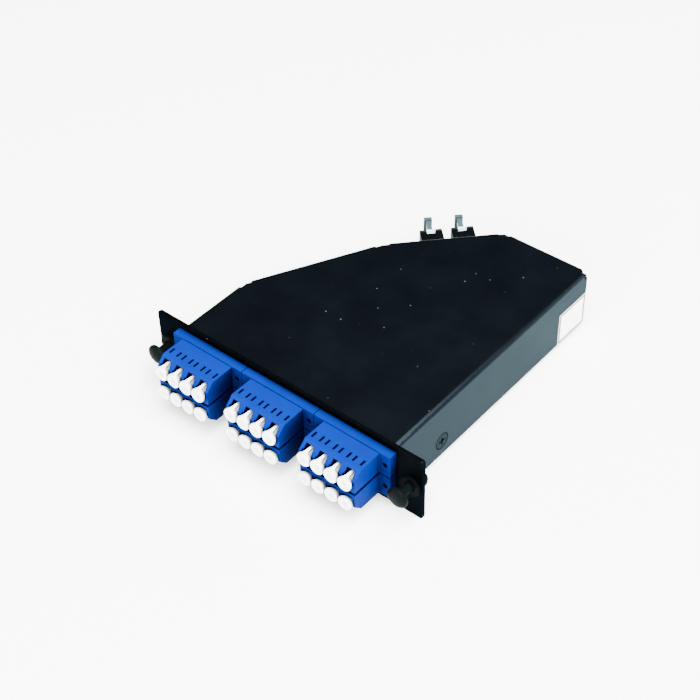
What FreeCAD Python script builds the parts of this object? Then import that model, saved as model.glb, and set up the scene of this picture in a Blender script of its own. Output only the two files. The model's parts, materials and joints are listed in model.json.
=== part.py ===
import FreeCAD, Part
import math
import os

from FreeCAD import Vector

# Slot-in fibre cassette: two multi-fibre inlets at the back, twenty-four LC outlets at the front.
# Frame: X to the right seen from the front, Y to the rear, Z up, millimetres.
# The origin is midway between the two panel latches, on the rear face of the front panel,
# which is the face that seats on the shelf.

# ---------------------------------------------------------------- LC quad adapters
adapter_columns = 3
ports = 4
port_pitch = 6.25
body_side = 0.3             # body beyond the outer ports' share of it
body_height = 9.3
body_gap = 1.4              # between the upper and lower body
ear_width = 4.8             # flange beside the body
flange_gap = 0.2            # between the flanges of two columns
flange_row_gap = 0.6        # between the flanges of the two rows
flange_thickness = 3.6
ear_hole_diameter = 2.2
ear_hole_sides = 12
roof_length = 14.0          # top face, from the panel forward
nose_length = 17.5          # lower front face, from the panel forward
nose_drop = 3.4             # height lost over the sloping front
roof_thickness = 0.9
rear_length = 13.6          # body behind the panel's front face
cutout_clearance = 0.2
port_size = 4.7
port_drop = 0.35            # port axis below the middle of the body
port_depth = 10.0
latch_slot_width = 3.7
latch_slot_depth = 8.4
window_width = 0.9
window_length = 2.8
window_offset = 1.81        # each side of the port axis
window_setback = 10.76      # window middle, from the panel forward
holder_diameter = 2.9       # sleeve holder standing on the floor of each port
holder_reach = 3.5
holder_sides = 8
clip_strip = 0.35
clip_gap = 0.05
clip_length = 5.0

# ---------------------------------------------------------------- folded case
case_side_gap = 3.7         # outer adapter bodies to the outside of the side walls
case_roof_gap = 0.2         # upper bodies to the top
case_floor_gap = 4.0        # lower bodies to the bottom plate
case_depth = 123.2
case_sheet = 1.0
bend_inside = 0.8
left_wall_length = 33.3
slant_width = 27.6          # first slanting wall, across the case
slant_depth = 52.8          # and along it
rear_wall_length = 40.8
corner_gap = 0.3            # between the ends of two walls, at their inner faces
relief_length = 3.2         # notch along each edge at a corner of the top
relief_height = 2.5
weld_tab_height = 15.0
weld_tab_clearance = 0.6    # tab to the adapters' rear bodies
plate_clearance = 0.15      # bottom plate to walls, all round
plate_step = 0.3            # walls stop this far above the underside

# ---------------------------------------------------------------- front panel
latch_offset = 7.6          # latches beside the case
panel_ear = 5.25            # panel beyond the latches
panel_overhang = 1.6        # panel above and below the case
panel_sheet = 1.6
panel_corner = 1.0

# ---------------------------------------------------------------- case screws, M4 countersunk
lug_width = 11.0
lug_height = 12.5
lug_end_gap = 0.9           # side lugs to the corner behind the left one
screw_height = 7.5          # above the underside of the case
screw_head_diameter = 7.2
screw_shank_diameter = 4.0
screw_head_depth = 1.6
screw_length = 6.0
screw_clearance = 0.05
recess_length = 3.6
recess_width = 0.8
recess_depth = 1.0

# ---------------------------------------------------------------- LC dust caps
cap_gap = 0.25              # between the heads of two neighbours
cap_head_sides = 20
cap_head_thickness = 1.9
cap_stand_off = 0.2         # head to the adapter's front face
cap_plug_clearance = 0.3
cap_tip_gap = 0.7           # plug to the sleeve holder
cap_fin_thickness = 0.9
cap_fin_length = 6.3
cap_fin_shoulder = 0.5      # length over which the fin narrows from the head
cap_fin_root = 5.0
cap_fin_tip = 2.0
cap_fin_drop = 0.05         # top of the fin below the top of the head

# ---------------------------------------------------------------- panel latches
grommet_flange_diameter = 8.8
grommet_flange_thickness = 1.2
grommet_barrel_diameter = 6.2
grommet_barb_diameter = 7.6
grommet_barb_start = 0.3    # behind the panel
grommet_barb_length = 4.2
grommet_slit = 0.8
latch_hole_clearance = 0.1
plunger_head_diameter = 8.6
plunger_head_thickness = 2.4
plunger_stem_diameter = 4.0
plunger_reach = 3.0         # behind the panel
plunger_stand_off = 5.6     # head to the grommet, pulled out
plunger_clearance = 0.1

# ---------------------------------------------------------------- multi-fibre adapters
inlet_offset = 3.56         # middle of the pair behind the middle of its wall
inlet_gap = 1.2             # between the two flanges
inlet_width = 9.5
inlet_height = 12.8
inlet_outside = 12.7
inlet_inside = 14.0
inlet_wall = 0.9
inlet_side_lip = 1.25       # flange beside the body
inlet_end_lip = 1.4         # flange above and below the body
inlet_flange_thickness = 2.0
inlet_web = 2.0
inlet_window_width = 3.2
inlet_window_height = 7.4
inlet_notch_width = 3.6
inlet_notch_depth = 1.4
inlet_cap_plate = 1.2
inlet_cap_plug = 8.0
inlet_cap_clearance = 0.15
inlet_cap_neck = 2.1
inlet_cap_neck_length = 6.9
inlet_cap_neck_height = 11.2
inlet_cap_rim = 3.4
inlet_cap_rim_thickness = 1.6

# ---------------------------------------------------------------- fibres inside the case
plug_clearance = 0.15       # inner plugs to their ports
plug_rear = 18.0            # rear end of an LC plug, behind the panel
plug_boot_size = 3.6
plug_boot_length = 7.0
plug_boot_end = 1.4
fibre_diameter = 0.9
fibre_sides = 6             # drawn with flat sides
fibre_end_gap = 0.37        # boot to the middle of a slanting fibre's end
trunk_diameter = 3.0
trunk_lead = 6.0            # straight stretch of trunk before its plug
inlet_plug_length = 19.0
inlet_boot_length = 8.0
inlet_boot_width = 6.0
inlet_boot_height = 7.6
inlet_boot_end = 3.6
fanout_x = 12.0
fanout_y = 62.0
fanout_length = 9.0
fanout_height = 5.0
fanout_pitch = 1.6          # between the fibres that enter it
fanout_margin = 1.2

# ---------------------------------------------------------------- label
label_length = 18.4
label_height = 15.2
label_thickness = 0.12
label_margin = 0.3

# ================================================================ derived values
body_width = ports * port_pitch + 2 * body_side
flange_width = body_width + 2 * ear_width
column_pitch = flange_width + flange_gap
row_pitch = body_height + body_gap
flange_height = row_pitch - flange_row_gap
ear_hole_x = (body_width + ear_width) / 2
stack_height = row_pitch + body_height
column_x = [column_pitch * (i - (adapter_columns - 1) / 2) for i in range(adapter_columns)]
port_x = [port_pitch * (i - (ports - 1) / 2) for i in range(ports)]
rows = {"upper": 1, "lower": -1}
port_shift = -port_drop
front_floor = -nose_length + port_depth
rear_floor = rear_length - port_depth
holder_front = front_floor - holder_reach
cap_head_diameter = port_pitch - cap_gap

case_width = 2 * (column_x[-1] + body_width / 2 + case_side_gap)
case_height = stack_height + case_roof_gap + case_floor_gap + 2 * case_sheet
case_top = case_height / 2
case_bottom = -case_height / 2
stack_middle = case_top - case_sheet - case_roof_gap - stack_height / 2
bend_outside = bend_inside + case_sheet
plate_inset = case_sheet + plate_clearance
knee_x = slant_width - case_width / 2
knee_y = left_wall_length + slant_depth
rear_wall_start = case_width / 2 - rear_wall_length

latch_x = case_width / 2 + latch_offset
panel_width = 2 * (latch_x + panel_ear)
panel_height = case_height + 2 * panel_overhang
panel_front = -panel_sheet
screw_setback = left_wall_length - lug_end_gap - lug_width / 2
screw_z = case_bottom + screw_height

inlet_flange_width = inlet_width + 2 * inlet_side_lip
inlet_flange_height = inlet_height + 2 * inlet_end_lip
inlet_pitch = inlet_flange_width + inlet_gap
inlet_bore_width = inlet_width - 2 * inlet_wall
inlet_bore_height = inlet_height - 2 * inlet_wall

case_outline = [
    Vector(-case_width / 2, 0, 0),
    Vector(-case_width / 2, left_wall_length, 0),
    Vector(knee_x, knee_y, 0),
    Vector(rear_wall_start, case_depth, 0),
    Vector(case_width / 2, case_depth, 0),
    Vector(case_width / 2, 0, 0),
]
LEFT, SLANT, INLET, REAR, RIGHT, FRONT = range(6)
folded_edges = [LEFT, SLANT, INLET, REAR, RIGHT]
spill = 1.0                 # how far a cutting shape runs past what it cuts
arc_root = 1 - math.sqrt(0.5)


# ================================================================ small helpers
def save(node, shape):
    shape.exportStep("parts/" + node + ".step")


def block(x0, x1, y0, y1, z0, z1):
    return Part.makeBox(x1 - x0, y1 - y0, z1 - z0, Vector(x0, y0, z0))


def centred_block(width, y0, y1, height, x=0.0, z=0.0):
    return block(x - width / 2, x + width / 2, y0, y1, z - height / 2, z + height / 2)


def rod(diameter, y0, y1, x=0.0, z=0.0):
    return Part.makeCylinder(diameter / 2, y1 - y0, Vector(x, y0, z), Vector(0, 1, 0))


def prism(points, direction):
    wire = Part.makePolygon(points + [points[0]])
    return Part.Face(wire).extrude(direction)


def taper(front, rear, y0, y1, x=0.0, z=0.0):
    """Four-sided taper between two rectangles, each given as (width, height)."""
    (wide_a, high_a), (wide_b, high_b) = front, rear
    wedge = Part.makeWedge(-wide_a / 2, y0, -high_a / 2, -high_b / 2, -wide_b / 2,
                           wide_a / 2, y1, high_a / 2, high_b / 2, wide_b / 2)
    return moved(wedge, x, 0, z)


def flat_sided_rod(start, end, diameter, sides):
    """Rod with flat sides between two points."""
    axis = end - start
    across = axis.cross(Vector(0, 0, 1)).normalize()
    up = across.cross(axis).normalize()
    radius = diameter / 2
    angles = [2 * math.pi * (i + 0.5) / sides for i in range(sides)]
    corners = [start + across * (radius * math.cos(a)) + up * (radius * math.sin(a)) for a in angles]
    return prism(corners, axis)


def revolved(profile):
    """Solid of revolution about the Y axis from (radius, depth) points."""
    points = [Vector(radius, depth, 0) for radius, depth in profile]
    face = Part.Face(Part.makePolygon(points + [points[0]]))
    return face.revolve(Vector(0, 0, 0), Vector(0, 1, 0), 360)


def fuse(shapes):
    whole = shapes[0].multiFuse(shapes[1:])
    return whole.removeSplitter()


def moved(shape, x=0.0, y=0.0, z=0.0):
    result = shape.copy()
    result.translate(Vector(x, y, z))
    return result


def turned(shape, axis, degrees):
    result = shape.copy()
    result.rotate(Vector(0, 0, 0), axis, degrees)
    return result


# ================================================================ sheet metal
def edge_frame(outline, index):
    """Start point, direction, inward normal and length of one edge of an outline."""
    start = outline[index]
    end = outline[(index + 1) % len(outline)]
    along = end - start
    length = along.Length
    along.normalize()
    return start, along, Vector(along.y, -along.x, 0), length


def inset_outline(outline, offsets):
    """The outline with each edge moved inward by its own offset."""
    result = []
    for i in range(len(outline)):
        _, dir_a, in_a, _ = edge_frame(outline, i - 1)
        _, dir_b, in_b, _ = edge_frame(outline, i)
        point_a = outline[i] + in_a * offsets[i - 1]
        point_b = outline[i] + in_b * offsets[i]
        cross = dir_a.x * dir_b.y - dir_a.y * dir_b.x
        gap = point_b - point_a
        step = (gap.x * dir_b.y - gap.y * dir_b.x) / cross
        result.append(point_a + dir_a * step)
    return result


def wall_setback(corner):
    """How far the two walls at a corner stop short of it, so that their ends leave the gap."""
    _, before, _, _ = edge_frame(case_outline, corner - 1)
    _, after, _, _ = edge_frame(case_outline, corner)
    half_turn = before.getAngle(after) / 2
    return case_sheet * math.tan(half_turn) + corner_gap / 2


def line(a, b):
    return Part.LineSegment(a, b).toShape()


def bend_profile(at, reach):
    """L-shaped section of a folded sheet, on a map from (depth, rise) to space.

    The flat leg lies along the depth and the upright leg along the rise; the two reaches are
    those of the flat leg and of the upright one.
    """
    flat, upright = reach
    outer = Part.Arc(at(bend_outside, 0), at(bend_outside * arc_root, bend_outside * arc_root),
                     at(0, bend_outside)).toShape()
    inner = Part.Arc(at(case_sheet, bend_outside),
                     at(case_sheet + bend_inside * arc_root, case_sheet + bend_inside * arc_root),
                     at(bend_outside, case_sheet)).toShape()
    edges = [outer, line(at(0, bend_outside), at(0, upright)),
             line(at(0, upright), at(case_sheet, upright)),
             line(at(case_sheet, upright), at(case_sheet, bend_outside)), inner]
    if flat > bend_outside:
        edges += [line(at(bend_outside, case_sheet), at(flat, case_sheet)),
                  line(at(flat, case_sheet), at(flat, 0)), line(at(flat, 0), at(bend_outside, 0))]
    else:
        edges.append(line(at(bend_outside, case_sheet), at(bend_outside, 0)))
    return Part.Face(Part.Wire(edges))


def bent_flange(outline, index, begin, end, z_flat, rise):
    """Bend and upright wall on one edge, from a flat sheet whose outer face is at z_flat."""
    start, along, inward, _ = edge_frame(outline, index)
    up = Vector(0, 0, math.copysign(1, rise))
    origin = start + along * begin + Vector(0, 0, z_flat)

    def at(depth, height):
        return origin + inward * depth + up * height

    return bend_profile(at, (bend_outside, abs(rise))).extrude(along * (end - begin))


def flat_sheet(outline, folded, z_outer, thickness):
    offsets = [bend_outside if i in folded else 0 for i in range(len(outline))]
    inner = [p + Vector(0, 0, z_outer) for p in inset_outline(outline, offsets)]
    return prism(inner, Vector(0, 0, thickness))


def corner_notch(corner):
    """Relief where two flanges meet, cut through the bend and the top of both walls."""
    _, dir_a, in_a, _ = edge_frame(case_outline, corner - 1)
    point, dir_b, in_b, _ = edge_frame(case_outline, corner)
    inner = inset_outline(case_outline, [bend_outside] * len(case_outline))[corner]
    before = point - dir_a * relief_length
    after = point + dir_b * relief_length
    points = [
        before - in_a * spill,
        before + in_a * bend_outside,
        inner,
        after + in_b * bend_outside,
        after - in_b * spill,
        point - (in_a + in_b) * spill,
    ]
    lifted = [p + Vector(0, 0, case_top - relief_height) for p in points]
    return prism(lifted, Vector(0, 0, relief_height + spill))


def weld_tab(side):
    """Tongue folded inward from the front edge of a side wall, spot-welded to the panel."""
    def at(depth, y):
        return Vector(side * (case_width / 2 - depth), y, -weld_tab_height / 2)

    adapter_side = column_x[-1] + body_width / 2
    reach = case_width / 2 - adapter_side - weld_tab_clearance
    return bend_profile(at, (reach, 2 * bend_outside)).extrude(Vector(0, 0, weld_tab_height))


def inlet_frames():
    """Middle, direction along the wall and outward normal of each multi-fibre inlet."""
    start, along, inward, length = edge_frame(case_outline, INLET)
    middle = length / 2 + inlet_offset
    middles = [start + along * (middle + side * inlet_pitch / 2) for side in (-1, 1)]
    return [(middle, along, inward * -1) for middle in middles]


def at_inlet(shape, frame):
    """Places a shape modelled with +Y outward from the wall's outer face."""
    middle, along, _ = frame
    angle = math.degrees(math.atan2(along.y, along.x))
    return moved(turned(shape, Vector(0, 0, 1), angle), middle.x, middle.y)


def screw_axes():
    """Outer-face point and inward direction of each case screw, by the edge it stands on."""
    side = case_width / 2
    rear_middle = (rear_wall_start + side) / 2
    return {
        RIGHT: (Vector(side, screw_setback, screw_z), Vector(-1, 0, 0)),
        LEFT: (Vector(-side, screw_setback, screw_z), Vector(1, 0, 0)),
        REAR: (Vector(rear_middle, case_depth, screw_z), Vector(0, -1, 0)),
    }


def head_cone(point, inward, clearance, depth):
    slope = (screw_head_diameter - screw_shank_diameter) / 2 / screw_head_depth
    outer = screw_head_diameter / 2 + clearance
    return Part.makeCone(outer, outer - slope * depth, depth, point, inward)


def inlet_opening():
    """Hole in the wall for one multi-fibre adapter."""
    return centred_block(inlet_width + 2 * cutout_clearance, -case_sheet - spill, spill,
                         inlet_height + 2 * cutout_clearance)


def case_shell():
    """Top and five walls folded from one sheet, with its tabs and openings."""
    walls = []
    for index in folded_edges:
        _, _, _, length = edge_frame(case_outline, index)
        begin = wall_setback(index) if index != LEFT else 0
        end = length - wall_setback(index + 1) if index != RIGHT else length
        walls.append(bent_flange(case_outline, index, begin, end, case_top, plate_step - case_height))
    sheet = flat_sheet(case_outline, folded_edges, case_top - case_sheet, case_sheet)
    cuts = [corner_notch(corner) for corner in folded_edges[1:]]
    for side in (-1, 1):
        x_a, x_b = sorted((side * case_width, side * (case_width / 2 - bend_outside)))
        slot = (weld_tab_height + case_sheet) / 2
        cuts.append(block(x_a, x_b, -spill, bend_outside, -slot, slot))
    shell = fuse([fuse([sheet] + walls).cut(cuts)] + [weld_tab(side) for side in (-1, 1)])
    holes = [head_cone(point, inward, screw_clearance, case_sheet + screw_clearance)
             for point, inward in screw_axes().values()]
    holes += [at_inlet(inlet_opening(), frame) for frame in inlet_frames()]
    return shell.cut(holes)


def lug_parts(outline, index, point):
    """Room cut for one upturned lug, and the folded lug."""
    start, along, into, _ = edge_frame(outline, index)
    middle = (point - start).dot(along)
    begin, end = middle - lug_width / 2, middle + lug_width / 2
    low = Vector(0, 0, case_bottom - spill)
    a = start + along * (begin - case_sheet) - into * spill + low
    b = start + along * (end + case_sheet) - into * spill + low
    reach = into * (spill + bend_outside)
    room = prism([a, b, b + reach, a + reach], Vector(0, 0, bend_outside + 2 * spill))
    lug = bent_flange(outline, index, begin, end, case_bottom, lug_height)
    return room, lug


def bottom_plate():
    """Flat cover with three upturned lugs that take the case screws."""
    outline = inset_outline(case_outline, [plate_inset] * FRONT + [0])
    plate = prism([p + Vector(0, 0, case_bottom) for p in outline], Vector(0, 0, case_sheet))
    rooms = []
    lugs = []
    holes = []
    bore = screw_shank_diameter / 2 + screw_clearance
    for index, (point, inward) in screw_axes().items():
        room, lug = lug_parts(outline, index, point)
        rooms.append(room)
        lugs.append(lug)
        holes.append(head_cone(point, inward, screw_clearance, screw_head_depth))
        holes.append(Part.makeCylinder(bore, 2 * screw_length, point, inward))
    return fuse([plate.cut(rooms)] + lugs).cut(holes)


def case_screw(point, inward):
    """Countersunk screw with a cross recess."""
    head = head_cone(point, inward, 0, screw_head_depth)
    shank = Part.makeCylinder(screw_shank_diameter / 2, screw_length, point, inward)
    recess = []
    for wing in (inward.cross(Vector(0, 0, 1)), Vector(0, 0, 1)):
        other = wing.cross(inward)
        base = point - wing * (recess_length / 2) - other * (recess_width / 2)
        long_side = wing * recess_length
        short_side = other * recess_width
        corners = [base, base + long_side, base + long_side + short_side, base + short_side]
        recess.append(prism(corners, inward * recess_depth))
    return fuse([head, shank]).cut(recess)


def case_label():
    """Plain label on the rear lower corner of the right wall."""
    y_end = case_depth - wall_setback(RIGHT) - label_margin
    z_low = case_bottom + plate_step + label_margin
    x_face = case_width / 2
    return block(x_face, x_face + label_thickness, y_end - label_length, y_end,
                 z_low, z_low + label_height)


# ================================================================ front panel
def row_z(sign):
    return stack_middle + sign * row_pitch / 2


def front_panel():
    panel = centred_block(panel_width, panel_front, 0, panel_height)
    corners = [e for e in panel.Edges if abs(e.tangentAt(e.FirstParameter).y) > 0.99]
    panel = panel.makeFillet(panel_corner, corners)
    cuts = []
    for x in column_x:
        for sign in rows.values():
            cuts.append(centred_block(body_width + 2 * cutout_clearance, panel_front - spill, spill,
                                      body_height + 2 * cutout_clearance, x, row_z(sign)))
    for side in (-1, 1):
        cuts.append(rod(grommet_barrel_diameter + 2 * latch_hole_clearance, panel_front - spill,
                        spill, side * latch_x))
    return panel.cut(cuts)


# ================================================================ LC quad adapter
# Modelled key side up, with Y = 0 on the panel's front face and Z = 0 at mid-height.
def adapter_body():
    """Front body with the sloping nose, without its ports."""
    top = body_height / 2
    side = [(-roof_length, top), (0, top), (0, -top), (-nose_length, -top),
            (-nose_length, top - nose_drop)]
    return prism([Vector(-body_width / 2, y, z) for y, z in side], Vector(body_width, 0, 0))


def front_port(x):
    """Square port with the latch slot above it, open at the nose."""
    mouth = -nose_length - spill
    opening = centred_block(port_size, mouth, front_floor, port_size, x, port_shift)
    slot = block(x - latch_slot_width / 2, x + latch_slot_width / 2, mouth,
                 latch_slot_depth - nose_length, port_shift, body_height / 2 - roof_thickness)
    return opening.fuse(slot)


def latch_windows(x):
    """The two windows in the roof above one port, where a plug's catches hold."""
    top = body_height / 2
    middles = [x + side * window_offset for side in (-1, 1)]
    return [block(middle - window_width / 2, middle + window_width / 2,
                  -window_setback - window_length / 2, -window_setback + window_length / 2,
                  top - 2 * roof_thickness, top + spill) for middle in middles]


def adapter_front():
    """Front half: flange, four ports and the sleeve holder in each."""
    flange = centred_block(flange_width, -flange_thickness, 0, flange_height)
    cuts = []
    holders = []
    for x in port_x:
        cuts += [front_port(x)] + latch_windows(x)
        holders.append(flat_sided_rod(Vector(x, holder_front, port_shift),
                                      Vector(x, front_floor + spill, port_shift),
                                      holder_diameter, holder_sides))
    for x in (-ear_hole_x, ear_hole_x):
        cuts.append(flat_sided_rod(Vector(x, -flange_thickness - spill, 0), Vector(x, spill, 0),
                                   ear_hole_diameter, ear_hole_sides))
    return fuse([fuse([adapter_body(), flange]).cut(cuts)] + holders)


def adapter_rear():
    """Rear half: a body through the panel with four sockets for the inner plugs."""
    body = centred_block(body_width, 0, rear_length, body_height)
    sockets = [centred_block(port_size, rear_floor, rear_length + spill, port_size, x, port_shift)
               for x in port_x]
    return body.cut(sockets)


def spring_clip(width, height, y0, y1):
    """Spring-steel clip round three sides of a body that passes through a sheet."""
    inner = width / 2 + clip_gap
    outer = inner + clip_strip
    low = -height / 2 - clip_gap
    section = [(-outer, 0), (-outer, low - clip_strip), (outer, low - clip_strip), (outer, 0),
               (inner, 0), (inner, low), (-inner, low), (-inner, 0)]
    return prism([Vector(x, y0, z) for x, z in section], Vector(0, y1 - y0, 0))


def place_adapter(shape, column, sign):
    """Puts a shape of the adapter's frame in its column, turned over in the lower row."""
    if sign < 0:
        shape = turned(shape, Vector(0, 1, 0), 180)
    return moved(shape, column_x[column], panel_front, row_z(sign))


# ================================================================ LC dust cap
def cap_fin():
    """Flat latch fin, wide at the head and narrow where it enters the latch slot."""
    root = -nose_length - cap_stand_off
    shoulder = root + cap_fin_shoulder
    tip = root + cap_fin_length
    waist = latch_slot_width / 2 - cap_plug_clearance
    half = [(cap_fin_root / 2, root), (waist, shoulder), (cap_fin_tip / 2, tip)]
    outline = half + [(-x, y) for x, y in reversed(half)]
    z = port_shift + cap_head_diameter / 2 - cap_fin_thickness - cap_fin_drop
    return prism([Vector(x, y, z) for x, y in outline], Vector(0, 0, cap_fin_thickness))


def dust_cap():
    """Cap for a port on the adapter's middle axis."""
    back = -nose_length - cap_stand_off
    head = flat_sided_rod(Vector(0, back - cap_head_thickness, port_shift),
                          Vector(0, back, port_shift), cap_head_diameter, cap_head_sides)
    plug_size = port_size - 2 * cap_plug_clearance
    plug = centred_block(plug_size, back, holder_front - cap_tip_gap, plug_size, 0, port_shift)
    return fuse([head, plug, cap_fin()])


# ================================================================ panel latches
def grommet(side):
    """Split nylon grommet with a barb behind the panel."""
    flange_front = panel_front - grommet_flange_thickness
    barb_end = grommet_barb_start + grommet_barb_length
    bore = plunger_stem_diameter / 2 + plunger_clearance
    flange = grommet_flange_diameter / 2
    barrel = grommet_barrel_diameter / 2
    barb = grommet_barb_diameter / 2
    body = revolved([
        (bore, flange_front), (flange, flange_front), (flange, panel_front), (barrel, panel_front),
        (barrel, grommet_barb_start), (barb, grommet_barb_start), (barb, barb_end),
        (bore, barb_end),
    ])
    slit = centred_block(grommet_slit, grommet_barb_start, barb_end + spill, 2 * grommet_barb_diameter)
    return moved(body.cut(slit), side * latch_x)


def plunger(side):
    """Push-pull pin, shown pulled out."""
    head_back = panel_front - grommet_flange_thickness - plunger_stand_off
    head_front = head_back - plunger_head_thickness
    head = plunger_head_diameter / 2
    stem = plunger_stem_diameter / 2
    body = revolved([
        (0, head_front), (head, head_front), (head, head_back), (stem, head_back),
        (stem, plunger_reach), (0, plunger_reach),
    ])
    return moved(body, side * latch_x)


# ================================================================ multi-fibre inlets
# Modelled with Y outward from the wall's outer face, X along the wall.
def inlet_adapter():
    """Rectangular adapter with a flange, a socket at each end and a web between them."""
    body = centred_block(inlet_width, -inlet_inside, inlet_outside, inlet_height)
    flange = centred_block(inlet_flange_width, 0, inlet_flange_thickness, inlet_flange_height)
    web = inlet_web / 2
    notch = inlet_notch_width / 2
    cuts = [
        centred_block(inlet_bore_width, web, inlet_outside + spill, inlet_bore_height),
        centred_block(inlet_bore_width, -inlet_inside - spill, -web, inlet_bore_height),
        centred_block(inlet_window_width, -web - spill, web + spill, inlet_window_height),
        block(-notch, notch, inlet_outside - inlet_notch_depth, inlet_outside + spill,
              0, inlet_height),
    ]
    return fuse([body, flange]).cut(cuts)


def inlet_cap():
    """Dust cap: plug, plate over the adapter's mouth, thin neck and a rim to pull it by."""
    gap = 2 * inlet_cap_clearance
    plate_end = inlet_outside + inlet_cap_plate
    neck_end = plate_end + inlet_cap_neck_length
    return fuse([
        centred_block(inlet_bore_width - gap, inlet_outside - inlet_cap_plug, inlet_outside,
                      inlet_bore_height - gap),
        centred_block(inlet_width, inlet_outside, plate_end, inlet_height),
        centred_block(inlet_cap_neck, plate_end, neck_end, inlet_cap_neck_height),
        centred_block(inlet_cap_rim, neck_end, neck_end + inlet_cap_rim_thickness, inlet_height),
    ])


def inlet_plug():
    """Multi-fibre plug pushed in from inside, with its boot."""
    gap = 2 * plug_clearance
    nose = -inlet_web / 2 - plug_clearance
    rear = nose - inlet_plug_length
    width = inlet_bore_width - gap
    height = inlet_bore_height - gap
    body = centred_block(width, rear, nose, height)
    boot = taper((inlet_boot_end, inlet_boot_end), (inlet_boot_width, inlet_boot_height),
                 rear - inlet_boot_length, rear)
    return fuse([body, boot])


# ================================================================ fibres inside
def port_z(sign):
    return row_z(sign) + sign * port_shift


def lc_plug(x, sign):
    """Inner LC plug with its boot, in the rear socket of one port."""
    z = port_z(sign)
    size = port_size - 2 * plug_clearance
    tip = panel_front + rear_floor + plug_clearance
    body = centred_block(size, tip, plug_rear, size, x, z)
    boot = taper((plug_boot_size, plug_boot_size), (plug_boot_end, plug_boot_end),
                 plug_rear, plug_rear + plug_boot_length, x, z)
    return fuse([body, boot])


def trunk(points):
    """Round cord along straight runs with mitred joints."""
    mouth = Part.Wire(Part.makeCircle(trunk_diameter / 2, points[0], points[1] - points[0]))
    return Part.makePolygon(points).makePipeShell([mouth], True, False, 1)


def harness(sign, frame):
    """Twelve fibres into a fan-out block on the bottom plate, and the trunk to one inlet plug."""
    z0 = case_bottom + case_sheet + (fanout_height if sign > 0 else 0)
    z_block = z0 + fanout_height / 2
    feet = [x + dx for x in column_x for dx in port_x]
    entries = [fanout_x + fanout_pitch * (i - (len(feet) - 1) / 2) for i in range(len(feet))]
    half = (entries[-1] - entries[0]) / 2 + fanout_margin
    body = block(fanout_x - half, fanout_x + half, fanout_y, fanout_y + fanout_length,
                 z0, z0 + fanout_height)
    depth = plug_rear + plug_boot_length + fibre_end_gap
    fibres = [flat_sided_rod(Vector(foot, depth, port_z(sign)),
                             Vector(entry, fanout_y + spill, z_block), fibre_diameter, fibre_sides)
              for foot, entry in zip(feet, entries)]
    middle, _, outward = frame
    boot_end = inlet_web / 2 + plug_clearance + inlet_plug_length + inlet_boot_length
    end = middle - outward * boot_end
    cord = trunk([Vector(fanout_x, fanout_y + fanout_length - spill, z_block),
                  end - outward * trunk_lead, end])
    return fuse([body, cord] + fibres)


# ================================================================ the part
def save_case():
    save("case_shell", case_shell())
    save("bottom_plate", bottom_plate())
    save("front_panel", front_panel())
    save("case_label", case_label())
    screws = [case_screw(point, inward) for point, inward in screw_axes().values()]
    save("case_screws", Part.makeCompound(screws))


def save_adapters():
    front = adapter_front()
    rear = adapter_rear()
    clip = spring_clip(body_width, body_height, panel_sheet, panel_sheet + clip_length)
    cap = dust_cap()
    clips = []
    caps = 0
    for row, sign in rows.items():
        for column in range(adapter_columns):
            number = len(clips) + 1
            save(f"lc_adapter_front_{number}", place_adapter(front, column, sign))
            save(f"lc_adapter_rear_{number}", place_adapter(rear, column, sign))
            clips.append(place_adapter(clip, column, sign))
            for x in port_x:
                caps += 1
                save(f"lc_dust_cap_{caps:02d}", place_adapter(moved(cap, sign * x), column, sign))
        plugs = [lc_plug(x + dx, sign) for x in column_x for dx in port_x]
        save(f"lc_plugs_{row}", Part.makeCompound(plugs))
    save("adapter_clips", Part.makeCompound(clips))


def save_latches():
    for side, name in ((-1, "left"), (1, "right")):
        save(f"latch_grommet_{name}", grommet(side))
        save(f"latch_plunger_{name}", plunger(side))


def save_inlets():
    clip = spring_clip(inlet_width, inlet_height, -case_sheet - clip_length, -case_sheet)
    clips = []
    for number, (frame, (row, sign)) in enumerate(zip(inlet_frames(), rows.items()), 1):
        save(f"mpo_adapter_{number}", at_inlet(inlet_adapter(), frame))
        save(f"mpo_dust_cap_{number}", at_inlet(inlet_cap(), frame))
        save(f"mpo_plug_{number}", at_inlet(inlet_plug(), frame))
        save(f"fibre_harness_{row}", harness(sign, frame))
        clips.append(at_inlet(clip, frame))
    save("mpo_adapter_clips", Part.makeCompound(clips))


os.makedirs("parts", exist_ok=True)
save_case()
save_adapters()
save_latches()
save_inlets()
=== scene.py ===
"""Looks of the fibre cassette: finishes, softened edges and small mouldings over the CAD frame."""
import json
import math

import bmesh
import bpy
from mathutils import Matrix, Vector


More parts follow.
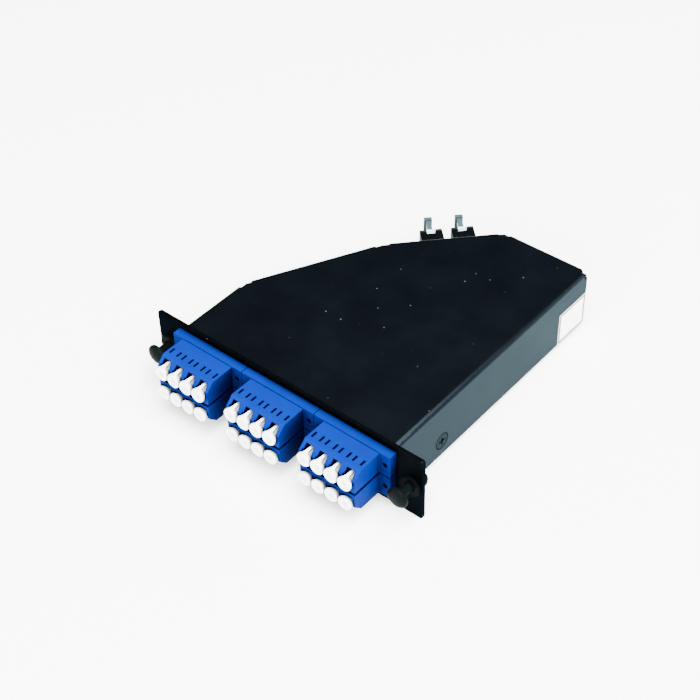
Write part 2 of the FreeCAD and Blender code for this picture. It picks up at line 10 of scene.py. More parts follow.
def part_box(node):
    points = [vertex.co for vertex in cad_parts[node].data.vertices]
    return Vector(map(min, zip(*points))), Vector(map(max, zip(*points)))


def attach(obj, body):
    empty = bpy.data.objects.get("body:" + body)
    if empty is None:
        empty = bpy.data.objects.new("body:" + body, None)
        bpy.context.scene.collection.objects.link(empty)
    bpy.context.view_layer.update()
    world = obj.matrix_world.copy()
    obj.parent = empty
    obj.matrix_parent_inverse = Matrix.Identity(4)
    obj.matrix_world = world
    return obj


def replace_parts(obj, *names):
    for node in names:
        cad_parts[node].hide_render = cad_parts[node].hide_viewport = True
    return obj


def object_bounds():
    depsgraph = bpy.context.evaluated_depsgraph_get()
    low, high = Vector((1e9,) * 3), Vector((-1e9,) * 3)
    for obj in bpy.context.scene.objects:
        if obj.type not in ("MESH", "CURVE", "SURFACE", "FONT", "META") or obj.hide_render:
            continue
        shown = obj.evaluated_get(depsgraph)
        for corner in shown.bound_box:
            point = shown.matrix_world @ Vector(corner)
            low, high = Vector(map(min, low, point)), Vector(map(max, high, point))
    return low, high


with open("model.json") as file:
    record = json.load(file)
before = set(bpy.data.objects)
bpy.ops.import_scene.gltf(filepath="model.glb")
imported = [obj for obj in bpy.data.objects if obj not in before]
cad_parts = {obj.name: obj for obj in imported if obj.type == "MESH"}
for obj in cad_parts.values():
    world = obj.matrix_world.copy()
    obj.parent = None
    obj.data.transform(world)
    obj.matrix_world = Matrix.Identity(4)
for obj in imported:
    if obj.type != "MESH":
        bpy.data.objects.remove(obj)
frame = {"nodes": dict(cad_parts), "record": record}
cad_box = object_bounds()

MM = 0.001
NODES = frame["nodes"]
DUST_CAPS = sorted(name for name in NODES if name.startswith("lc_dust_cap_"))


def node_points(name):
    piece = NODES[name]
    return [piece.matrix_world @ vertex.co for vertex in piece.data.vertices]


# ------------------------------------------------------------------ camera
CAMERA_AZIMUTH = math.radians(40.75)      # to the right of straight ahead
CAMERA_ELEVATION = math.radians(42.71)
CAMERA_ROLL = math.radians(-1.63)
CAMERA_DISTANCE = 593.2 * MM
CAMERA_TARGET = Vector((-2.88, 39.9, -0.7)) * MM
CAMERA_LENS = 78.39


def add_camera():
    back = Vector((math.sin(CAMERA_AZIMUTH) * math.cos(CAMERA_ELEVATION),
                   -math.cos(CAMERA_AZIMUTH) * math.cos(CAMERA_ELEVATION),
                   math.sin(CAMERA_ELEVATION)))
    level = (-back).cross(Vector((0, 0, 1))).normalized()
    upright = level.cross(-back)
    right = level * math.cos(CAMERA_ROLL) + upright * math.sin(CAMERA_ROLL)
    up = upright * math.cos(CAMERA_ROLL) - level * math.sin(CAMERA_ROLL)
    data = bpy.data.cameras.new("camera")
    data.lens = CAMERA_LENS
    data.clip_start = 0.01
    data.clip_end = 20
    camera = bpy.data.objects.new("camera", data)
    place = CAMERA_TARGET + back * CAMERA_DISTANCE
    camera.matrix_world = Matrix((
        (right.x, up.x, back.x, place.x),
        (right.y, up.y, back.y, place.y),
        (right.z, up.z, back.z, place.z),
        (0, 0, 0, 1),
    ))
    bpy.context.scene.collection.objects.link(camera)
    bpy.context.scene.camera = camera


# ------------------------------------------------------------------ shader nodes
NOISE_ROUGHNESS = 0.55
TONE_STOPS = (0.3, 0.7)      # of a noise that blends two tones
OPENNESS_SAMPLES = 8


class Finish:
    """A material in the making. Its methods add one node each and return the node's output."""

    def __init__(self, name):
        self.material = bpy.data.materials.new(name)
        self.material.use_nodes = True
        self.nodes = self.material.node_tree.nodes
        self.links = self.material.node_tree.links
        self.shader = self.nodes["Principled BSDF"]

    def set(self, name, value):
        """Sets an input of the shader to a number, or to a colour without its alpha."""
        socket = self.shader.inputs[name]
        socket.default_value = (*value, 1) if socket.type == "RGBA" else value

    def feed(self, name, source):
        self.links.new(source, self.shader.inputs[name])

    def add(self, kind, numbers, wires):
        """New node with the given numbers and wires on its named inputs."""
        node = self.nodes.new(kind)
        for name, value in numbers.items():
            node.inputs[name].default_value = value
        for name, source in wires.items():
            self.links.new(source, node.inputs[name])
        return node

    def coordinates(self):
        return self.nodes.new("ShaderNodeTexCoord").outputs["Object"]

    def split(self, vector):
        return self.add("ShaderNodeSeparateXYZ", {}, {"Vector": vector}).outputs

    def noise(self, scale, detail=3.0):
        numbers = {"Scale": scale, "Detail": detail, "Roughness": NOISE_ROUGHNESS}
        return self.add("ShaderNodeTexNoise", numbers, {"Vector": self.coordinates()}).outputs["Fac"]

    def tones(self, source, dark, light):
        """Colour that goes from a dark to a light tone as its source rises."""
        node = self.add("ShaderNodeValToRGB", {}, {"Fac": source})
        for element, position, tone in zip(node.color_ramp.elements, TONE_STOPS, (dark, light)):
            element.position = position
            element.color = (*tone, 1)
        return node.outputs["Color"]

    def remap(self, source, low, high):
        return self.add("ShaderNodeMapRange", {"To Min": low, "To Max": high},
                        {"Value": source}).outputs["Result"]

    def fade(self, source, start, end):
        """0 up to the start, 1 from the end on, or the other way round where the end is lower."""
        node = self.add("ShaderNodeMapRange", {"From Min": start, "From Max": end}, {"Value": source})
        node.interpolation_type = "SMOOTHSTEP"
        return node.outputs["Result"]

    def bump(self, height, strength, distance):
        return self.add("ShaderNodeBump", {"Strength": strength, "Distance": distance},
                        {"Height": height}).outputs["Normal"]

    def mix(self, amount, first, second):
        """Blends two colours, each a plain tone or another node's output."""
        node = self.nodes.new("ShaderNodeMix")
        node.data_type = "RGBA"
        self.links.new(amount, node.inputs["Factor"])
        for name, value in (("A", first), ("B", second)):
            if isinstance(value, tuple):
                node.inputs[name].default_value = (*value, 1)
            else:
                self.links.new(value, node.inputs[name])
        return node.outputs["Result"]

    def calculate(self, operation, *values):
        """Result of a sum on one or two values, each a number or another node's output."""
        node = self.nodes.new("ShaderNodeMath")
        node.operation = operation
        for socket, value in zip(node.inputs, values):
            if isinstance(value, (int, float)):
                socket.default_value = value
            else:
                self.links.new(value, socket)
        return node.outputs["Value"]

    def overlap(self, *masks):
        """Mask of where all the given masks are."""
        common = masks[0]
        for mask in masks[1:]:
            common = self.calculate("MULTIPLY", common, mask)
        return common

    def openness(self, reach):
        """How open a point is to its surroundings within a reach: 1 in the open, 0 deep in a gap."""
        node = self.add("ShaderNodeAmbientOcclusion", {"Distance": reach}, {})
        node.samples = OPENNESS_SAMPLES
        return node.outputs["AO"]

    def along(self, direction):
        """Distance of a point along a direction, from the origin."""
        node = self.nodes.new("ShaderNodeVectorMath")
        node.operation = "DOT_PRODUCT"
        node.inputs[1].default_value = direction
        self.links.new(self.coordinates(), node.inputs[0])
        return node.outputs["Value"]


# ------------------------------------------------------------------ studio
# The overhead light stands to the right, so that the black top mirrors the dark part of the room.
LIGHT_TARGET = (0, 0.05, 0)
LIGHTS = (
    # name, place, width and height, power in watts
    ("overhead", (0.8, -0.25, 1.9), (2.0, 2.4), 560),
    ("front_fill", (0.3, -1.6, 0.7), (1.4, 0.8), 90),
    ("rear_fill", (0.9, 1.6, 0.5), (1.2, 0.6), 30),
    ("sparkle", (-0.9, -1.2, 1.1), (0.12, 0.12), 6),
)
ROOM_TONE = (0.90, 0.95, 1.0)
ROOM_STRENGTH = 0.4
FLOOR_TONE = (0.93, 0.94, 0.94)
FLOOR_ROUGHNESS = 0.7
FLOOR_SPECULAR = 0.1
FLOOR_REACH = 3.0            # from the middle to each side


def add_area_light(name, place, size, power):
    data = bpy.data.lights.new(name, "AREA")
    data.shape = "RECTANGLE"
    data.size, data.size_y = size
    data.energy = power
    light = bpy.data.objects.new(name, data)
    light.location = place
    light.rotation_euler = (Vector(LIGHT_TARGET) - Vector(place)).to_track_quat("-Z", "Y").to_euler()
    bpy.context.scene.collection.objects.link(light)


def add_room():
    world = bpy.data.worlds.new("studio")
    world.use_nodes = True
    background = world.node_tree.nodes["Background"]
    background.inputs["Color"].default_value = (*ROOM_TONE, 1)
    background.inputs["Strength"].default_value = ROOM_STRENGTH
    bpy.context.scene.world = world


def add_floor():
    low = cad_box[0][2]
    corners = [(x * FLOOR_REACH, y * FLOOR_REACH, low) for x, y in ((-1, -1), (1, -1), (1, 1), (-1, 1))]
    mesh = bpy.data.meshes.new("floor")
    mesh.from_pydata(corners, [], [(0, 1, 2, 3)])
    floor = bpy.data.objects.new("floor", mesh)
    bpy.context.scene.collection.objects.link(floor)
    finish = Finish("studio_floor")
    finish.set("Base Color", FLOOR_TONE)
    finish.set("Roughness", FLOOR_ROUGHNESS)
    finish.set("Specular IOR Level", FLOOR_SPECULAR)
    mesh.materials.append(finish.material)


def add_studio():
    add_room()
    add_floor()
    for light in LIGHTS:
        add_area_light(*light)


# ------------------------------------------------------------------ painted steel
COAT_ROUGHNESS = (0.38, 0.48)
COAT_SPECULAR = 0.1
CLOUD_SCALE = 60             # soft change of tone
PEEL_SCALE = 1500            # orange peel
PEEL_STRENGTH = 0.35
PEEL_DEPTH = 0.08 * MM
SPECK_CELL = 8 * MM          # dust: at most one speck in a cell of this size
SPECK_SHARE = 0.25           # of the cells that have one
SPECK_RADIUS = 0.32 * MM     # of the largest
SPECK_LEVEL = 0.7            # least upward part of the normal of a face that holds dust
SPECK_TONE = (0.03, 0.033, 0.036)
FOLD_RADIUS = 1.8 * MM       # outside of the case's bends
# painted highlight: a lighter line along the front end of the top-to-side folds, in place of the reflection
# on the bend
FOLD_HIGHLIGHT_LENGTH = 10 * MM        # from the front
FOLD_HIGHLIGHT_FADE = 0.7              # share of that length over which the painted highlight is full
FOLD_HIGHLIGHT_START = 0.02 * MM       # the painted highlight begins this far inside the crest of a bend
FOLD_HIGHLIGHT_FULL = 0.005 * MM       # and is full from here on
FOLD_HIGHLIGHT_PATCH_SCALE = 420
FOLD_HIGHLIGHT_PATCHES = (0.30, 0.55)  # of the noise, where a patch of the painted highlight begins and is full
FOLD_HIGHLIGHT_TONE = (0.010, 0.011, 0.012)


def dust_specks(finish):
    """Mask of sparse round specks on faces that look up."""
    cells = finish.add("ShaderNodeTexVoronoi", {}, {})
    cells.voronoi_dimensions = "2D"
    cells.inputs["Scale"].default_value = 1 / SPECK_CELL
    finish.links.new(finish.coordinates(), cells.inputs["Vector"])
    draw = finish.add("ShaderNodeSeparateColor", {}, {"Color": cells.outputs["Color"]}).outputs
    size = finish.calculate("MULTIPLY", draw["Green"], SPECK_RADIUS / SPECK_CELL)
    near = finish.calculate("LESS_THAN", cells.outputs["Distance"], size)
    chosen = finish.calculate("LESS_THAN", draw["Red"], SPECK_SHARE)
    normal = finish.split(finish.nodes.new("ShaderNodeTexCoord").outputs["Normal"])
    level = finish.calculate("GREATER_THAN", normal["Z"], SPECK_LEVEL)
    return finish.overlap(near, chosen, level)


def painted_fold_highlight(finish, side, top):
    """Mask of a painted highlight: a lighter line along the front end of the folds between top and side
    walls.
    """
    place = finish.split(finish.coordinates())
    reach = finish.calculate("ADD", finish.calculate("ABSOLUTE", place["X"]), place["Z"])
    crest = side + top - FOLD_RADIUS * (2 - math.sqrt(2))
    ridge = finish.fade(reach, crest - FOLD_HIGHLIGHT_START, crest - FOLD_HIGHLIGHT_FULL)
    front = finish.fade(place["Y"], FOLD_HIGHLIGHT_LENGTH, FOLD_HIGHLIGHT_LENGTH * FOLD_HIGHLIGHT_FADE)
    patches = finish.fade(finish.noise(FOLD_HIGHLIGHT_PATCH_SCALE, 2), *FOLD_HIGHLIGHT_PATCHES)
    return finish.overlap(ridge, front, patches)


def powder_coat(name, dark, light, edge, folds=None):
    """Satin black coat on steel: cloudy tone, orange-peel bump, dust specks and a painted highlight on the
    folds.

    The edge colour is that of reflections at a glancing angle. Folds gives the outside of the side
    walls and of the top.
    """
    finish = Finish(name)
    cloud = finish.noise(CLOUD_SCALE, 4)
    dust_and_highlight = dust_specks(finish)
    base = finish.mix(dust_and_highlight, finish.tones(cloud, dark, light), SPECK_TONE)
    if folds:
        # painted highlight: the front ends of the folds get a lighter, non-metallic tone
        fold_highlight = painted_fold_highlight(finish, *folds)
        base = finish.mix(fold_highlight, base, FOLD_HIGHLIGHT_TONE)
        dust_and_highlight = finish.calculate("MAXIMUM", dust_and_highlight, fold_highlight)
    finish.feed("Base Color", base)
    finish.feed("Metallic", finish.calculate("SUBTRACT", 1.0, dust_and_highlight))
    finish.feed("Normal", finish.bump(finish.noise(PEEL_SCALE), PEEL_STRENGTH, PEEL_DEPTH))
    finish.feed("Roughness", finish.remap(cloud, *COAT_ROUGHNESS))
    finish.set("Specular IOR Level", COAT_SPECULAR)
    finish.set("Specular Tint", edge)
    return finish.material


# ------------------------------------------------------------------ plastics, bare metal and label
DRIFT_SCALE = 90             # soft change of tone
GRAIN_SCALE = 900
GRAIN_STRENGTH = 0.25
GRAIN_DEPTH = 0.05 * MM
GRAIN_GLOSS = (0.85, 1.2)    # least and greatest roughness, as a share of the nominal one
GLAZE_ROUGHNESS = 0.12       # of the clear coat on the white caps
SCATTER_RADIUS = (0.8, 0.8, 0.8)
SCATTER_DEPTH = 1.2 * MM     # of light below the white caps' surface
SPRING_TONES = ((0.10, 0.10, 0.10), (0.16, 0.16, 0.155))
SPRING_ROUGHNESS = 0.28
SPRING_GLOSS = (0.8, 1.3)
SPRING_GRAIN_SCALE = 700
SPRING_GRAIN_STRENGTH = 0.2
SPRING_GRAIN_DEPTH = 0.03 * MM
LABEL_PAPER = ((0.80, 0.80, 0.81), (0.86, 0.86, 0.87))
LABEL_FIBRE_SCALE = 300
LABEL_ROUGHNESS = 0.4
LABEL_MARGIN = 0.7 * MM      # from the label's edge to the middle of its border
LABEL_LINE = 0.8 * MM        # from the border's middle to where its ink ends
LABEL_INK = (0.04, 0.004, 0.012)
INLET_SMOKE = ((0.020, 0.032, 0.038), (0.030, 0.045, 0.052))
INLET_SMOKE_SCALE = 200
# painted shade in the gaps of the inlet caps' grips
INLET_SHADE = (0.0005, 0.002, 0.003)
INLET_SHADE_REACH = 5 * MM
INLET_SHADE_RANGE = (0.3, 0.85)
INLET_GRIP_LENGTH = 8.5 * MM
INLET_PLATE_TONE = (0.006, 0.010, 0.012)
INLET_HIGHLIGHT_HALF = 1.9 * MM         # half the width of the painted highlight across an inlet cap's plate
INLET_HIGHLIGHT_TONE = (0.55, 0.58, 0.60)
INLET_ROUGHNESS = 0.35
INLET_SPECULAR = 0.08


def moulded_plastic(name, dark, light, roughness, coat=0.0, subsurface=0.0, specular=0.5, painted_gap_shade=None,
                    edge=None):
    """Injection-moulded plastic: faint tone drift, a fine moulding grain and painted shade in gaps.

    Painted gap shade gives the tone painted in gaps, their reach, and the openness where it is full and
    where it ends.
    With an edge colour it is a dark plated metal instead, and that is its glancing reflection.
    """
    finish = Finish(name)
    base = finish.tones(finish.noise(DRIFT_SCALE), dark, light)
    if painted_gap_shade:
        tone, reach, closed, opened = painted_gap_shade
        # painted shade: the colour darkens where the surface is closed in
        base = finish.mix(finish.fade(finish.openness(reach), closed, opened), tone, base)
    grain = finish.noise(GRAIN_SCALE)
    finish.feed("Base Color", base)
    finish.feed("Normal", finish.bump(grain, GRAIN_STRENGTH, GRAIN_DEPTH))
    finish.feed("Roughness", finish.remap(grain, *(roughness * share for share in GRAIN_GLOSS)))
    finish.set("Specular IOR Level", specular)
    if edge:
        finish.set("Metallic", 1.0)
        finish.set("Specular Tint", edge)
    if coat:
        finish.set("Coat Weight", coat)
        finish.set("Coat Roughness", GLAZE_ROUGHNESS)
    if subsurface:
        finish.set("Subsurface Weight", subsurface)
        finish.set("Subsurface Radius", SCATTER_RADIUS)
        finish.set("Subsurface Scale", SCATTER_DEPTH)
    return finish.material


def spring_steel():
    """Rolled strip with a fine grain."""
    finish = Finish("spring_steel")
    grain = finish.noise(SPRING_GRAIN_SCALE, 4)
    finish.feed("Base Color", finish.tones(grain, *SPRING_TONES))
    finish.feed("Roughness", finish.remap(grain, *(SPRING_ROUGHNESS * share for share in SPRING_GLOSS)))
    finish.feed("Normal", finish.bump(grain, SPRING_GRAIN_STRENGTH, SPRING_GRAIN_DEPTH))
    finish.set("Metallic", 1.0)
    return finish.material


def label_film():
    """White label film with a thin plain border a little inside its edges."""
    finish = Finish("label_film")
    low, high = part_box("case_label")
    place = finish.split(finish.coordinates())
    beyond = []
    for axis in (1, 2):
        offset = finish.calculate("SUBTRACT", place[axis], (low[axis] + high[axis]) / 2)
        distance = finish.calculate("ABSOLUTE", offset)
        beyond.append(finish.calculate("SUBTRACT", distance, (high[axis] - low[axis]) / 2))
    edge = finish.calculate("MAXIMUM", *beyond)
    offset = finish.calculate("ABSOLUTE", finish.calculate("ADD", edge, LABEL_MARGIN))
    border = finish.fade(offset, LABEL_LINE, LABEL_LINE / 2)
    paper = finish.tones(finish.noise(LABEL_FIBRE_SCALE), *LABEL_PAPER)
    finish.feed("Base Color", finish.mix(border, paper, LABEL_INK))
    finish.set("Roughness", LABEL_ROUGHNESS)
    return finish.material


def inlet_cap_plastic():
    """Smoky grey grip on a near-black plate; painted shade in gaps, a painted highlight across each plate.
    """
    finish = Finish("inlet_cap")
    joints = {row["child"]: row for row in frame["record"]["behaviour"]["joints"]}
    outward = Vector(joints["mpo_dust_cap_1"]["axis"])
    sideways = Vector((outward.y, -outward.x, 0))
    smoke = finish.tones(finish.noise(INLET_SMOKE_SCALE), *INLET_SMOKE)
    # painted shade: the grip darkens where it is closed in
    opened = finish.fade(finish.openness(INLET_SHADE_REACH), *INLET_SHADE_RANGE)
    base = finish.mix(opened, INLET_SHADE, smoke)
    grip = max(outward.dot(point) for point in node_points("mpo_dust_cap_1")) - INLET_GRIP_LENGTH
    plate = finish.fade(finish.along(outward), grip + 0.3 * MM, grip - 0.05 * MM)
    base = finish.mix(plate, base, INLET_PLATE_TONE)
    # painted highlight: a pale band across the middle of each plate
    for name in ("mpo_dust_cap_1", "mpo_dust_cap_2"):
        points = node_points(name)
        middle = sideways.dot(sum(points, Vector()) / len(points))
        offset = finish.calculate("ABSOLUTE", finish.calculate("SUBTRACT", finish.along(sideways), middle))
        highlight = finish.overlap(finish.fade(offset, INLET_HIGHLIGHT_HALF, INLET_HIGHLIGHT_HALF * 0.85), plate)
        base = finish.mix(highlight, base, INLET_HIGHLIGHT_TONE)
    finish.feed("Base Color", base)
    finish.set("Roughness", INLET_ROUGHNESS)
    finish.set("Specular IOR Level", INLET_SPECULAR)
    return finish.material


def make_materials():
    """One finish for each material slot of the record."""
    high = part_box("case_shell")[1]
    return {
        "case_paint": powder_coat(
            "case_powder_coat", (0.0045, 0.0064, 0.0088), (0.0058, 0.0080, 0.0106),
            edge=(0.55, 0.592, 0.602), folds=(high.x, high.z)),
        "panel_paint": powder_coat(
            "panel_powder_coat", (0.0022, 0.0029, 0.0036), (0.0030, 0.0040, 0.0048),
            edge=(0.39, 0.42, 0.43)),
        "label_paper": label_film(),
        "black_screw": moulded_plastic(
            "black_screw_finish", (0.0030, 0.0042, 0.0048), (0.0050, 0.0066, 0.0074), 0.35,
            edge=(0.50, 0.54, 0.55)),
        # painted shade: the blue darkens in the recesses between and behind the adapters
        "blue_plastic": moulded_plastic(
            "blue_adapter", (0.0, 0.0082, 0.092), (0.0, 0.0096, 0.104), 0.36, specular=0.005,
            painted_gap_shade=((0.0, 0.0002, 0.006), 15 * MM, 0.30, 0.97)),
        # painted shade: the white darkens in the caps' dishes, between the caps and in the latch slots
        "white_plastic": moulded_plastic(
            "white_cap", (0.70, 0.71, 0.72), (0.76, 0.77, 0.77), 0.30, coat=0.1, subsurface=0.03,
            painted_gap_shade=((0.10, 0.10, 0.105), 2.2 * MM, 0.40, 1.0)),
        "plug_plastic": moulded_plastic(
            "aqua_plug", (0.01, 0.10, 0.12), (0.015, 0.12, 0.14), 0.40, specular=0.2),
        "fibre_jacket": moulded_plastic(
            "aqua_jacket", (0.012, 0.11, 0.13), (0.018, 0.13, 0.15), 0.45, specular=0.2),
        "spring_steel": spring_steel(),
        "black_nylon": moulded_plastic(
            "black_nylon", (0.0006, 0.0008, 0.0010), (0.0010, 0.0013, 0.0015), 0.42, specular=0.004),
        "dark_plastic": moulded_plastic(
            "dark_plunger", (0.0008, 0.0012, 0.0012), (0.0016, 0.0028, 0.0028), 0.28, specular=0.006),
        "inlet_plastic": moulded_plastic(
            "inlet_black", (0.0006, 0.0009, 0.0012), (0.0010, 0.0014, 0.0018), 0.40, specular=0.004),
        "grey_plastic": inlet_cap_plastic(),
    }


# ------------------------------------------------------------------ CAD nodes
SOFT_EDGE = 0.12 * MM
SOFT_EDGES = {"case_screws": 0.25 * MM, "front_panel": 0.2 * MM}     # the others have SOFT_EDGE
SHARP_ANGLE = math.radians(35)
WELD_DISTANCE = 1e-6


def dress_nodes(materials):
    """Gives every CAD node the finish of its slot and slightly softened edges."""
    slots = {row["node"]: row["material_slot"] for row in frame["record"]["subparts"]}
    for name, piece in NODES.items():
        piece.data.materials.clear()
        piece.data.materials.append(materials[slots[name]])
        weld = piece.modifiers.new("join_facets", "WELD")
        weld.merge_threshold = WELD_DISTANCE
        soften = piece.modifiers.new("soft_edges", "BEVEL")
        soften.width = SOFT_EDGES.get(name, SOFT_EDGE)
        soften.segments = 2
        soften.limit_method = "ANGLE"
        soften.angle_limit = SHARP_ANGLE
        soften.use_clamp_overlap = True


# ------------------------------------------------------------------ mesh helpers
# Profiles are (radius, depth) points, turned about the Y axis.
TURN_STEPS = 48


def finish_mesh(shell, name):
    bmesh.ops.recalc_face_normals(shell, faces=shell.faces)
    mesh = bpy.data.meshes.new(name)
    shell.to_mesh(mesh)
    shell.free()
    for face in mesh.polygons:
        face.use_smooth = True
    return mesh


def new_piece(name, mesh, material, body):
    """A finished piece of the visual model, riding on its body."""
    piece = bpy.data.objects.new(name, mesh)
    bpy.context.scene.collection.objects.link(piece)
    mesh.materials.clear()
    mesh.materials.append(material)
    mesh.set_sharp_from_angle(angle=SHARP_ANGLE)
    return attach(piece, body)


def rounded_edge(radius, depth, bend, towards, steps):
    """Points of a quarter bend from a turned side onto an end face."""
    points = []
    for i in range(steps + 1):
        angle = math.pi / 2 * i / steps
        points.append((radius - bend * (1 - math.cos(angle)),
                       depth - towards * bend * (1 - math.sin(angle))))
    return points


def join_rings(shell, rings, round_trip=False):
    """Skin over rings of equal count: back to the first ring, or closed at both ends."""
    count = len(rings[0])
    following = rings[1:] + rings[:1] if round_trip else rings[1:]
    for first, second in zip(rings, following):
        for i in range(count):
            j = (i + 1) % count
            shell.faces.new((first[i], first[j], second[j], second[i]))
    if not round_trip:
        shell.faces.new(rings[0][::-1])
        shell.faces.new(rings[-1])


def turned_section(shell, profile, angle):
    return [shell.verts.new((r * math.cos(angle), depth, r * math.sin(angle))) for r, depth in profile]


def add_turned_ring(shell, profile, steps=TURN_STEPS):
    """Adds a closed profile clear of the axis, turned all the way round."""
    join_rings(shell, [turned_section(shell, profile, 2 * math.pi * i / steps) for i in range(steps)], True)


def add_sector(shell, profile, start, end):
    """Adds a closed profile clear of the axis, turned through part of a turn."""
    steps = TURN_STEPS // 2
    join_rings(shell, [turned_section(shell, profile, start + (end - start) * i / steps)
                       for i in range(steps + 1)])


def add_lathe(shell, profile):
    """Adds a turned form whose profile starts and ends on the axis."""
    rings = []
    for radius, depth in profile:
        if radius < 1e-9:
            rings.append([shell.verts.new((0, depth, 0))])
            continue
        turn = [2 * math.pi * i / TURN_STEPS for i in range(TURN_STEPS)]
        rings.append([shell.verts.new((radius * math.cos(a), depth, radius * math.sin(a))) for a in turn])
    for first, second in zip(rings, rings[1:]):
        for i in range(TURN_STEPS):
            j = (i + 1) % TURN_STEPS
            corners = [first[i % len(first)], first[j % len(first)],
                       second[j % len(second)], second[i % len(second)]]
            shell.faces.new(list(dict.fromkeys(corners)))


# ------------------------------------------------------------------ LC dust caps
# Modelled with Y = 0 on the back of the head, the port's axis at X = Z = 0 and the fin above it.
CAP_THICKNESS = 1.9 * MM
CAP_RIM = 0.45 * MM
CAP_SHOULDER = 0.95 * MM     # the head narrows over this length at its back
CAP_BACK_SHARE = 0.80
CAP_DISH = 1.75 * MM
CAP_DISH_DEPTH = 0.75 * MM
PLUG_WIDTH = 2.9 * MM
PLUG_LENGTH = 6.0 * MM
PLUG_BEVEL = 0.3 * MM
FIN_LENGTH = 6.3 * MM
FIN_WIDTH = 1.15 * MM
FIN_THICKNESS = 0.65 * MM
FIN_FLARE = 11.0             # how quickly the flare narrows to the fin
FIN_FLATTENING = 13.0        # and how quickly it flattens
FIN_SQUARENESS = 0.6
FIN_TIP_TAPER = 0.25         # of the last section
FIN_SECTIONS = 22
FIN_POINTS = 36


def cap_head(shell, radius):
    face = -CAP_THICKNESS
    dish = [(CAP_DISH * t, face + CAP_DISH_DEPTH * (1 + math.cos(math.pi * t)) / 2)
            for t in (0, 0.2, 0.4, 0.6, 0.8, 1)]
    front_edge = rounded_edge(radius, face, CAP_RIM, -1, 5)[::-1]
    back = [(radius, -CAP_SHOULDER), (radius * CAP_BACK_SHARE, 0), (0, 0)]
    add_lathe(shell, dish + front_edge + back)


def squared(value):
    """Sine or cosine of a round section turned into that of a squarish one."""
    return math.copysign(abs(value) ** FIN_SQUARENESS, value)


def cap_fin(shell, radius):
    """Funnel from the round head to the flat fin that lies in the latch slot."""
    start = -CAP_SHOULDER
    middle = radius - FIN_THICKNESS / 2
    rings = []
    for i in range(FIN_SECTIONS + 1):
        t = i / FIN_SECTIONS
        narrow = 1 - (1 - t) ** FIN_FLARE
        flat = 1 - (1 - t) ** FIN_FLATTENING
        tip = 1 - FIN_TIP_TAPER * max(0.0, 1 - (1 - t) * FIN_SECTIONS)
        ring = []
        for j in range(FIN_POINTS):
            a = 2 * math.pi * j / FIN_POINTS
            x = (1 - narrow) * radius * math.cos(a) + narrow * tip * FIN_WIDTH / 2 * squared(math.cos(a))
            rise = tip * FIN_THICKNESS / 2 * squared(math.sin(a))
            z = (1 - flat) * radius * math.sin(a) + flat * (middle + rise)
            ring.append(shell.verts.new((x, start + (FIN_LENGTH - start) * t, z)))
        rings.append(ring)
    join_rings(shell, rings)


def cap_plug(shell):
    """Square plug in the port, with rounded edges."""
    half = PLUG_WIDTH / 2
    outline = [(half, -CAP_RIM), (half, PLUG_LENGTH), (-half, PLUG_LENGTH), (-half, -CAP_RIM)]
    bottom, top = ([shell.verts.new((x, y, z)) for x, y in outline] for z in (-half, half))
    before = set(shell.edges)
    join_rings(shell, [bottom, top])
    edges = [edge for edge in shell.edges if edge not in before]
    bmesh.ops.bevel(shell, geom=edges, offset=PLUG_BEVEL, segments=2, affect="EDGES", clamp_overlap=True)


def add_caps(materials):
    """Detailed caps in place of the plain ones, upright above and turned over below."""
    low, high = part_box(DUST_CAPS[0])
    radius = (high.x - low.x) / 2
    shell = bmesh.new()
    cap_head(shell, radius)
    cap_fin(shell, radius)
    cap_plug(shell)
    mesh = finish_mesh(shell, "dust_cap_form")
    for name in DUST_CAPS:
        low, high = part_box(name)
        upper = low.z + high.z > 0
        turn = Matrix.Identity(4) if upper else Matrix.Rotation(math.pi, 4, "Y")
        middle = (low + high) / 2
        form = mesh.copy()
        form.transform(Matrix.Translation((middle.x, low.y + CAP_THICKNESS, middle.z)) @ turn)
        piece = new_piece(name + "_form", form, materials["white_plastic"], name)
        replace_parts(piece, name)


# ------------------------------------------------------------------ panel latches
PLUNGER_HEAD_LENGTH = 2.4 * MM
PLUNGER_HEAD_EDGE = 0.35 * MM
PLUNGER_CROWN = 1.3 * MM
PLUNGER_STEM = 2.0 * MM
PLUNGER_TIP_EDGE = 0.5 * MM
DOME_STEPS = 10
GROMMET_FLANGE = 1.2 * MM
GROMMET_CHAMFER = 0.25 * MM
GROMMET_BORE = 2.1 * MM
GROMMET_BARREL = 3.1 * MM
GROMMET_BARB = 3.8 * MM
GROMMET_BARB_START = 0.3 * MM
GROMMET_LEAD = 1.3 * MM      # the barb narrows over this length at its end
GROMMET_SLIT = 0.8 * MM


def plunger_mesh(radius, front, back):
    """Domed knob on a round pin with a rounded tip."""
    dome = []
    for i in range(DOME_STEPS + 1):
        a = math.pi / 2 * i / DOME_STEPS
        dome.append((radius * math.sin(a), front + PLUNGER_CROWN * (1 - math.cos(a))))
    head_back = front + PLUNGER_HEAD_LENGTH
    edge = rounded_edge(radius, head_back, PLUNGER_HEAD_EDGE, 1, 4)
    tip = rounded_edge(PLUNGER_STEM, back, PLUNGER_TIP_EDGE, 1, 4)
    shell = bmesh.new()
    add_lathe(shell, dome + edge + [(PLUNGER_STEM, head_back)] + tip + [(0, back)])
    return finish_mesh(shell, "plunger_form")


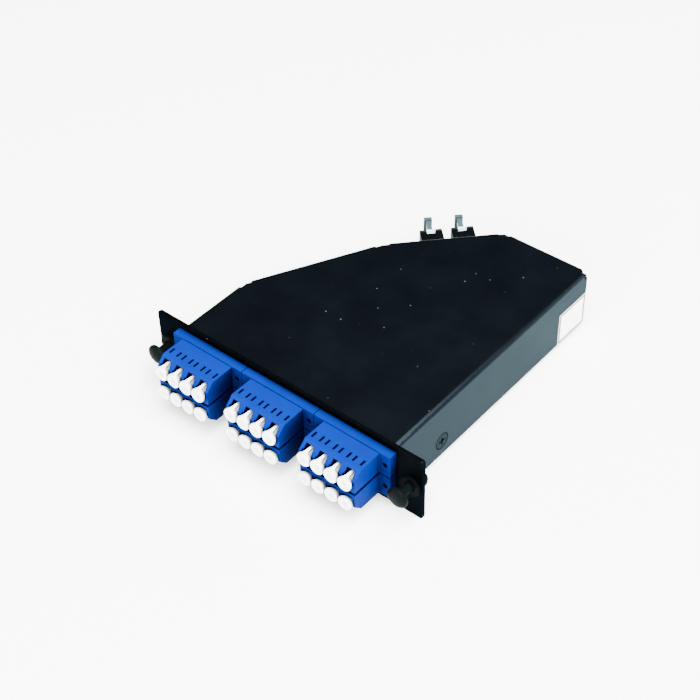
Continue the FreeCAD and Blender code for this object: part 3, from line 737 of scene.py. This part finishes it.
def grommet_mesh(radius, front, back):
    """Flange on the panel, barrel through it and two barbed fingers with a slit between."""
    ring = [(GROMMET_BORE, front + GROMMET_CHAMFER), (GROMMET_BORE + GROMMET_CHAMFER, front),
            (radius - GROMMET_CHAMFER, front), (radius, front + GROMMET_CHAMFER),
            (radius, front + GROMMET_FLANGE), (GROMMET_BARREL, front + GROMMET_FLANGE),
            (GROMMET_BARREL, GROMMET_BARB_START), (GROMMET_BORE, GROMMET_BARB_START)]
    finger = [(GROMMET_BORE, GROMMET_BARB_START), (GROMMET_BARB, GROMMET_BARB_START),
              (GROMMET_BARB, back - GROMMET_LEAD), (GROMMET_BARREL, back), (GROMMET_BORE, back)]
    shell = bmesh.new()
    add_turned_ring(shell, ring)
    reach = math.pi / 2 - math.asin(GROMMET_SLIT / 2 / GROMMET_BARREL)
    for middle in (math.pi, 0):
        add_sector(shell, finger, middle - reach, middle + reach)
    return finish_mesh(shell, "grommet_form")


def add_latches(materials):
    """Domed plungers and chamfered grommets in place of the plain ones."""
    for side in ("left", "right"):
        for kind, build, slot in (("plunger", plunger_mesh, "dark_plastic"),
                                  ("grommet", grommet_mesh, "black_nylon")):
            node = f"latch_{kind}_{side}"
            low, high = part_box(node)
            middle = (low + high) / 2
            mesh = build((high.z - low.z) / 2, low.y, high.y)
            mesh.transform(Matrix.Translation((middle.x, 0, middle.z)))
            body = node if kind == "plunger" else "cassette"
            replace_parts(new_piece(node + "_form", mesh, materials[slot], body), node)


# ------------------------------------------------------------------ painted shade rings at the case screws
SCREW_SHADE_OUTSIDE = 3.75 * MM
SCREW_SHADE_INSIDE = 3.15 * MM
SCREW_SHADE_STAND = 0.06 * MM  # above the screw's head at the crown of the painted shade ring
SCREW_SHADE_SINK = 0.1 * MM


def add_screw_shade_rings(materials):
    """A dark ring piece where each countersunk head meets the paint: painted shade in that groove."""
    crown = (SCREW_SHADE_INSIDE + SCREW_SHADE_OUTSIDE) / 2
    profile = [(SCREW_SHADE_INSIDE, SCREW_SHADE_STAND / 2), (crown, SCREW_SHADE_STAND),
               (SCREW_SHADE_OUTSIDE, SCREW_SHADE_STAND / 2), (SCREW_SHADE_OUTSIDE, -SCREW_SHADE_SINK),
               (SCREW_SHADE_INSIDE, -SCREW_SHADE_SINK)]
    points = node_points("case_screws")
    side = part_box("case_shell")[1].x
    screws = {
        "right": ([p for p in points if p.x > side / 2 and p.y < side], Vector((1, 0, 0))),
        "left": ([p for p in points if p.x < -side / 2 and p.y < side], Vector((-1, 0, 0))),
        "rear": ([p for p in points if p.y > side], Vector((0, 1, 0))),
    }
    for name, (group, outward) in screws.items():
        low = Vector([min(p[i] for p in group) for i in range(3)])
        high = Vector([max(p[i] for p in group) for i in range(3)])
        middle = (low + high) / 2
        face = middle + outward * (max(outward.dot(p) for p in group) - outward.dot(middle))
        shell = bmesh.new()
        add_turned_ring(shell, profile)
        mesh = finish_mesh(shell, "screw_shade_ring")
        turn = Vector((0, 1, 0)).rotation_difference(outward).to_matrix().to_4x4()
        mesh.transform(Matrix.Translation(face) @ turn)
        new_piece(f"screw_shade_ring_{name}", mesh, materials["black_nylon"], "cassette")


# ------------------------------------------------------------------ alignment sleeves in the ports
SLEEVE_OUTSIDE = 1.28 * MM
SLEEVE_BORE = 0.63 * MM
SLEEVE_CHAMFER = 0.1 * MM
SLEEVE_STAND = 0.35 * MM     # in front of its holder
SLEEVE_DEPTH = 0.6 * MM
SLEEVE_STEPS = 24
HOLDER_FRONT = 6.7 * MM      # behind the back of the cap's head


def add_sleeves(materials):
    """The end of the ceramic sleeve in each port, seen once its cap is off."""
    shell = bmesh.new()
    for name in DUST_CAPS:
        low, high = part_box(name)
        front = low.y + CAP_THICKNESS + HOLDER_FRONT - SLEEVE_STAND
        back = front + SLEEVE_DEPTH
        before = set(shell.verts)
        add_turned_ring(shell, [(SLEEVE_BORE, front + SLEEVE_CHAMFER), (SLEEVE_BORE + SLEEVE_CHAMFER, front),
                                (SLEEVE_OUTSIDE - SLEEVE_CHAMFER, front),
                                (SLEEVE_OUTSIDE, front + SLEEVE_CHAMFER),
                                (SLEEVE_OUTSIDE, back), (SLEEVE_BORE, back)], SLEEVE_STEPS)
        middle = (low + high) / 2
        added = [vertex for vertex in shell.verts if vertex not in before]
        bmesh.ops.translate(shell, vec=(middle.x, 0, middle.z), verts=added)
    mesh = finish_mesh(shell, "lc_sleeves")
    new_piece("lc_sleeves", mesh, materials["white_plastic"], "cassette")


add_camera()
add_studio()
MATERIALS = make_materials()
dress_nodes(MATERIALS)
add_caps(MATERIALS)
add_latches(MATERIALS)
add_screw_shade_rings(MATERIALS)
add_sleeves(MATERIALS)
